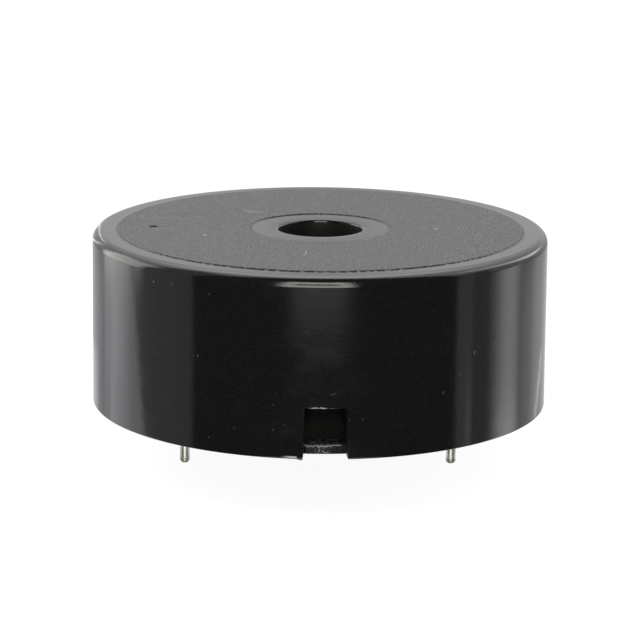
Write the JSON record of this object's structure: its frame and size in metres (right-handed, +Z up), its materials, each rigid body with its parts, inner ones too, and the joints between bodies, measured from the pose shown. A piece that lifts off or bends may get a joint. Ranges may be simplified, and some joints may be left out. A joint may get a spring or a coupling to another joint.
{
  "type": "piezo buzzer",
  "caption": "Round black piezo buzzer with a central sound hole, a grained top, a drain notch at the rim and wire pins for a circuit board.",
  "frame": {"origin": "middle between the two pins, in the plane of the case's rim, which seats on the circuit board", "axes": "+Z up through the middle of the sound hole; +X from the positive to the negative pin; -Y towards the notch in the rim"},
  "size_m": [0.042, 0.042, 0.0226],
  "materials": {
    "case_black": "moulded black plastic, glossy with a grained ring on top",
    "base_black": "moulded black plastic",
    "tinned_wire": "drawn and tinned",
    "plate_brass": "rolled sheet",
    "piezo_ceramic": "fired, matt",
    "silver_layer": "printed and fired silver, satin",
    "silicone": "cured bead, satin",
    "board": "laminate",
    "copper": "etched copper foil",
    "transistor_black": "moulded, with tinned legs",
    "resistor_body": "glazed film on ceramic, with tinned ends",
    "solder": "smooth solder",
    "lead_black": "wire insulation",
    "lead_red": "wire insulation",
    "lead_blue": "wire insulation"
  },
  "bodies": {
    "root": {"housing": "case_black", "base": "base_black", "pin_positive": "tinned_wire", "pin_negative": "tinned_wire", "vibration_plate": "plate_brass", "piezo_ceramic": "piezo_ceramic", "main_electrode": "silver_layer", "feedback_electrode": "silver_layer", "silicone_bead": "silicone", "circuit_board": "board", "circuit_tracks": "copper", "transistor": "transistor_black", "base_resistor": "resistor_body", "bias_resistor": "resistor_body", "load_resistor": "resistor_body", "component_solder": "solder", "plate_lead": "lead_black", "drive_lead": "lead_red", "feedback_lead": "lead_blue", "disc_solder": "solder", "lead_solder": "solder", "pin_solder": "solder"}
  },
  "joints": []
}
